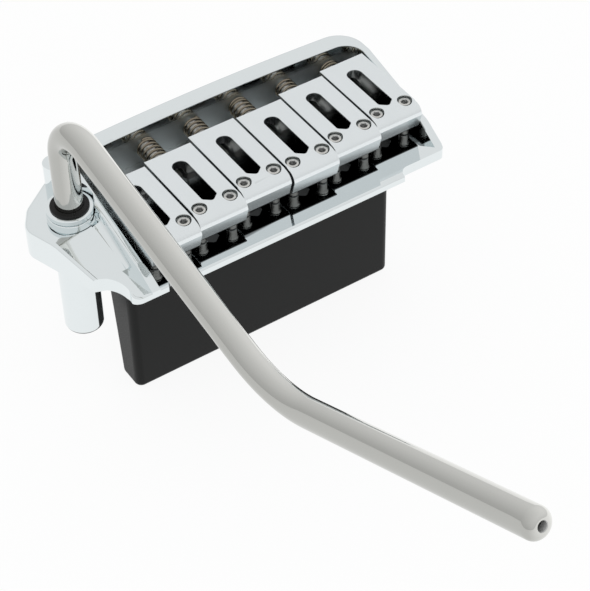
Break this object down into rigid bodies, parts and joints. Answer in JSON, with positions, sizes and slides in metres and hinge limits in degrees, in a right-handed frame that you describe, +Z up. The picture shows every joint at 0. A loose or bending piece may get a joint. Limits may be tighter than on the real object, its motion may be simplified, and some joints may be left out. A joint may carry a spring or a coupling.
{
  "type": "guitar tremolo bridge",
  "caption": "Two-post guitar tremolo bridge: tub-shaped plate with sliding saddles on height screws, sprung intonation screws, a heavy block below and a bent arm swinging in a side socket.",
  "frame": {"origin": "middle of the pivot line, where the plate's two knife edges meet their posts", "axes": "+X across the strings from the arm's side, +Y towards the tail of the guitar, +Z up from its top"},
  "size_m": [0.0813, 0.1416, 0.0789],
  "materials": {
    "plate_chrome": "polished chrome plating",
    "saddle_chrome": "satin chrome plating",
    "arm_nickel": "polished nickel plating",
    "screw_steel": "plated steel",
    "spring_steel": "bright spring wire",
    "block_black": "satin black coating",
    "bush_black": "black acetal"
  },
  "bodies": {
    "base": {"base_plate": "plate_chrome", "tremolo_block": "block_black", "block_screws": "screw_steel", "arm_socket": "plate_chrome", "arm_collar_nut": "plate_chrome", "arm_bush": "bush_black"},
    "arm_stop": {"arm_stop_screw": "screw_steel"},
    "arm": {"tremolo_arm": "arm_nickel"},
    "intonation_screw_1": {"intonation_screw_1": "screw_steel"},
    "carriage_1": {"intonation_spring_1": "spring_steel"},
    "saddle_1": {"saddle_1": "saddle_chrome"},
    "height_screw_1_left": {"height_screw_1_left": "screw_steel"},
    "height_screw_1_right": {"height_screw_1_right": "screw_steel"},
    "intonation_screw_2": {"intonation_screw_2": "screw_steel"},
    "carriage_2": {"intonation_spring_2": "spring_steel"},
    "saddle_2": {"saddle_2": "saddle_chrome"},
    "height_screw_2_left": {"height_screw_2_left": "screw_steel"},
    "height_screw_2_right": {"height_screw_2_right": "screw_steel"},
    "intonation_screw_3": {"intonation_screw_3": "screw_steel"},
    "carriage_3": {"intonation_spring_3": "spring_steel"},
    "saddle_3": {"saddle_3": "saddle_chrome"},
    "height_screw_3_left": {"height_screw_3_left": "screw_steel"},
    "height_screw_3_right": {"height_screw_3_right": "screw_steel"},
    "intonation_screw_4": {"intonation_screw_4": "screw_steel"},
    "carriage_4": {"intonation_spring_4": "spring_steel"},
    "saddle_4": {"saddle_4": "saddle_chrome"},
    "height_screw_4_left": {"height_screw_4_left": "screw_steel"},
    "height_screw_4_right": {"height_screw_4_right": "screw_steel"},
    "intonation_screw_5": {"intonation_screw_5": "screw_steel"},
    "carriage_5": {"intonation_spring_5": "spring_steel"},
    "saddle_5": {"saddle_5": "saddle_chrome"},
    "height_screw_5_left": {"height_screw_5_left": "screw_steel"},
    "height_screw_5_right": {"height_screw_5_right": "screw_steel"},
    "intonation_screw_6": {"intonation_screw_6": "screw_steel"},
    "carriage_6": {"intonation_spring_6": "spring_steel"},
    "saddle_6": {"saddle_6": "saddle_chrome"},
    "height_screw_6_left": {"height_screw_6_left": "screw_steel"},
    "height_screw_6_right": {"height_screw_6_right": "screw_steel"}
  },
  "joints": [
    {"name": "arm_height", "type": "slide", "parent": "base", "child": "arm_stop", "axis": [0, 0, 1], "range_m": [0, 0.003]},
    {"name": "arm_swing", "type": "hinge", "parent": "arm_stop", "child": "arm", "pos_m": [-0.038, 0.0215, 0], "axis": [0, 0, 1], "range_deg": [-150, 55]},
    {"name": "intonation_turn_1", "type": "hinge", "parent": "base", "child": "intonation_screw_1", "pos_m": [-0.027, 0.033, 0.0043], "axis": [0, -1, 0], "range_deg": [-865, 4177]},
    {"name": "intonation_1", "type": "slide", "parent": "base", "child": "carriage_1", "axis": [0, 1, 0], "range_m": [-0.0012, 0.0058], "deforming": ["intonation_spring_1"]},
    {"name": "saddle_lift_1", "type": "slide", "parent": "carriage_1", "child": "saddle_1", "axis": [0, 0, 1], "range_m": [-0.0012, 0.0015]},
    {"name": "height_turn_1_left", "type": "hinge", "parent": "carriage_1", "child": "height_screw_1_left", "pos_m": [-0.03036, 0.0037, 0.003], "axis": [0, 0, -1], "range_deg": [-865, 1081]},
    {"name": "height_turn_1_right", "type": "hinge", "parent": "carriage_1", "child": "height_screw_1_right", "pos_m": [-0.02364, 0.0037, 0.003], "axis": [0, 0, -1], "range_deg": [-865, 1081]},
    {"name": "intonation_turn_2", "type": "hinge", "parent": "base", "child": "intonation_screw_2", "pos_m": [-0.0162, 0.033, 0.0043], "axis": [0, -1, 0], "range_deg": [-1621, 3421]},
    {"name": "intonation_2", "type": "slide", "parent": "base", "child": "carriage_2", "axis": [0, 1, 0], "range_m": [-0.00225, 0.00475], "deforming": ["intonation_spring_2"]},
    {"name": "saddle_lift_2", "type": "slide", "parent": "carriage_2", "child": "saddle_2", "axis": [0, 0, 1], "range_m": [-0.0012, 0.0015]},
    {"name": "height_turn_2_left", "type": "hinge", "parent": "carriage_2", "child": "height_screw_2_left", "pos_m": [-0.01956, 0.00475, 0.003], "axis": [0, 0, -1], "range_deg": [-865, 1081]},
    {"name": "height_turn_2_right", "type": "hinge", "parent": "carriage_2", "child": "height_screw_2_right", "pos_m": [-0.01284, 0.00475, 0.003], "axis": [0, 0, -1], "range_deg": [-865, 1081]},
    {"name": "intonation_turn_3", "type": "hinge", "parent": "base", "child": "intonation_screw_3", "pos_m": [-0.0054, 0.033, 0.0043], "axis": [0, -1, 0], "range_deg": [-2737, 2305]},
    {"name": "intonation_3", "type": "slide", "parent": "base", "child": "carriage_3", "axis": [0, 1, 0], "range_m": [-0.0038, 0.0032], "deforming": ["intonation_spring_3"]},
    {"name": "saddle_lift_3", "type": "slide", "parent": "carriage_3", "child": "saddle_3", "axis": [0, 0, 1], "range_m": [-0.0012, 0.0015]},
    {"name": "height_turn_3_left", "type": "hinge", "parent": "carriage_3", "child": "height_screw_3_left", "pos_m": [-0.00876, 0.0063, 0.003], "axis": [0, 0, -1], "range_deg": [-865, 1081]},
    {"name": "height_turn_3_right", "type": "hinge", "parent": "carriage_3", "child": "height_screw_3_right", "pos_m": [-0.00204, 0.0063, 0.003], "axis": [0, 0, -1], "range_deg": [-865, 1081]},
    {"name": "intonation_turn_4", "type": "hinge", "parent": "base", "child": "intonation_screw_4", "pos_m": [0.0054, 0.033, 0.0043], "axis": [0, -1, 0], "range_deg": [-2449, 2593]},
    {"name": "intonation_4", "type": "slide", "parent": "base", "child": "carriage_4", "axis": [0, 1, 0], "range_m": [-0.0034, 0.0036], "deforming": ["intonation_spring_4"]},
    {"name": "saddle_lift_4", "type": "slide", "parent": "carriage_4", "child": "saddle_4", "axis": [0, 0, 1], "range_m": [-0.0012, 0.0015]},
    {"name": "height_turn_4_left", "type": "hinge", "parent": "carriage_4", "child": "height_screw_4_left", "pos_m": [0.00204, 0.0059, 0.003], "axis": [0, 0, -1], "range_deg": [-865, 1081]},
    {"name": "height_turn_4_right", "type": "hinge", "parent": "carriage_4", "child": "height_screw_4_right", "pos_m": [0.00876, 0.0059, 0.003], "axis": [0, 0, -1], "range_deg": [-865, 1081]},
    {"name": "intonation_turn_5", "type": "hinge", "parent": "base", "child": "intonation_screw_5", "pos_m": [0.0162, 0.033, 0.0043], "axis": [0, -1, 0], "range_deg": [-3457, 1585]},
    {"name": "intonation_5", "type": "slide", "parent": "base", "child": "carriage_5", "axis": [0, 1, 0], "range_m": [-0.0048, 0.0022], "deforming": ["intonation_spring_5"]},
    {"name": "saddle_lift_5", "type": "slide", "parent": "carriage_5", "child": "saddle_5", "axis": [0, 0, 1], "range_m": [-0.0012, 0.0015]},
    {"name": "height_turn_5_left", "type": "hinge", "parent": "carriage_5", "child": "height_screw_5_left", "pos_m": [0.01284, 0.0073, 0.003], "axis": [0, 0, -1], "range_deg": [-865, 1081]},
    {"name": "height_turn_5_right", "type": "hinge", "parent": "carriage_5", "child": "height_screw_5_right", "pos_m": [0.01956, 0.0073, 0.003], "axis": [0, 0, -1], "range_deg": [-865, 1081]},
    {"name": "intonation_turn_6", "type": "hinge", "parent": "base", "child": "intonation_screw_6", "pos_m": [0.027, 0.033, 0.0043], "axis": [0, -1, 0], "range_deg": [-4465, 577]},
    {"name": "intonation_6", "type": "slide", "parent": "base", "child": "carriage_6", "axis": [0, 1, 0], "range_m": [-0.0062, 0.0008], "deforming": ["intonation_spring_6"]},
    {"name": "saddle_lift_6", "type": "slide", "parent": "carriage_6", "child": "saddle_6", "axis": [0, 0, 1], "range_m": [-0.0012, 0.0015]},
    {"name": "height_turn_6_left", "type": "hinge", "parent": "carriage_6", "child": "height_screw_6_left", "pos_m": [0.02364, 0.0087, 0.003], "axis": [0, 0, -1], "range_deg": [-865, 1081]},
    {"name": "height_turn_6_right", "type": "hinge", "parent": "carriage_6", "child": "height_screw_6_right", "pos_m": [0.03036, 0.0087, 0.003], "axis": [0, 0, -1], "range_deg": [-865, 1081]}
  ],
  "couplings": [
    {"joint": "intonation_turn_1", "follows": "intonation_1", "rad_per_m": 12566},
    {"joint": "height_turn_1_left", "follows": "saddle_lift_1", "rad_per_m": 12566},
    {"joint": "height_turn_1_right", "follows": "saddle_lift_1", "rad_per_m": 12566},
    {"joint": "intonation_turn_2", "follows": "intonation_2", "rad_per_m": 12566},
    {"joint": "height_turn_2_left", "follows": "saddle_lift_2", "rad_per_m": 12566},
    {"joint": "height_turn_2_right", "follows": "saddle_lift_2", "rad_per_m": 12566},
    {"joint": "intonation_turn_3", "follows": "intonation_3", "rad_per_m": 12566},
    {"joint": "height_turn_3_left", "follows": "saddle_lift_3", "rad_per_m": 12566},
    {"joint": "height_turn_3_right", "follows": "saddle_lift_3", "rad_per_m": 12566},
    {"joint": "intonation_turn_4", "follows": "intonation_4", "rad_per_m": 12566},
    {"joint": "height_turn_4_left", "follows": "saddle_lift_4", "rad_per_m": 12566},
    {"joint": "height_turn_4_right", "follows": "saddle_lift_4", "rad_per_m": 12566},
    {"joint": "intonation_turn_5", "follows": "intonation_5", "rad_per_m": 12566},
    {"joint": "height_turn_5_left", "follows": "saddle_lift_5", "rad_per_m": 12566},
    {"joint": "height_turn_5_right", "follows": "saddle_lift_5", "rad_per_m": 12566},
    {"joint": "intonation_turn_6", "follows": "intonation_6", "rad_per_m": 12566},
    {"joint": "height_turn_6_left", "follows": "saddle_lift_6", "rad_per_m": 12566},
    {"joint": "height_turn_6_right", "follows": "saddle_lift_6", "rad_per_m": 12566}
  ]
}
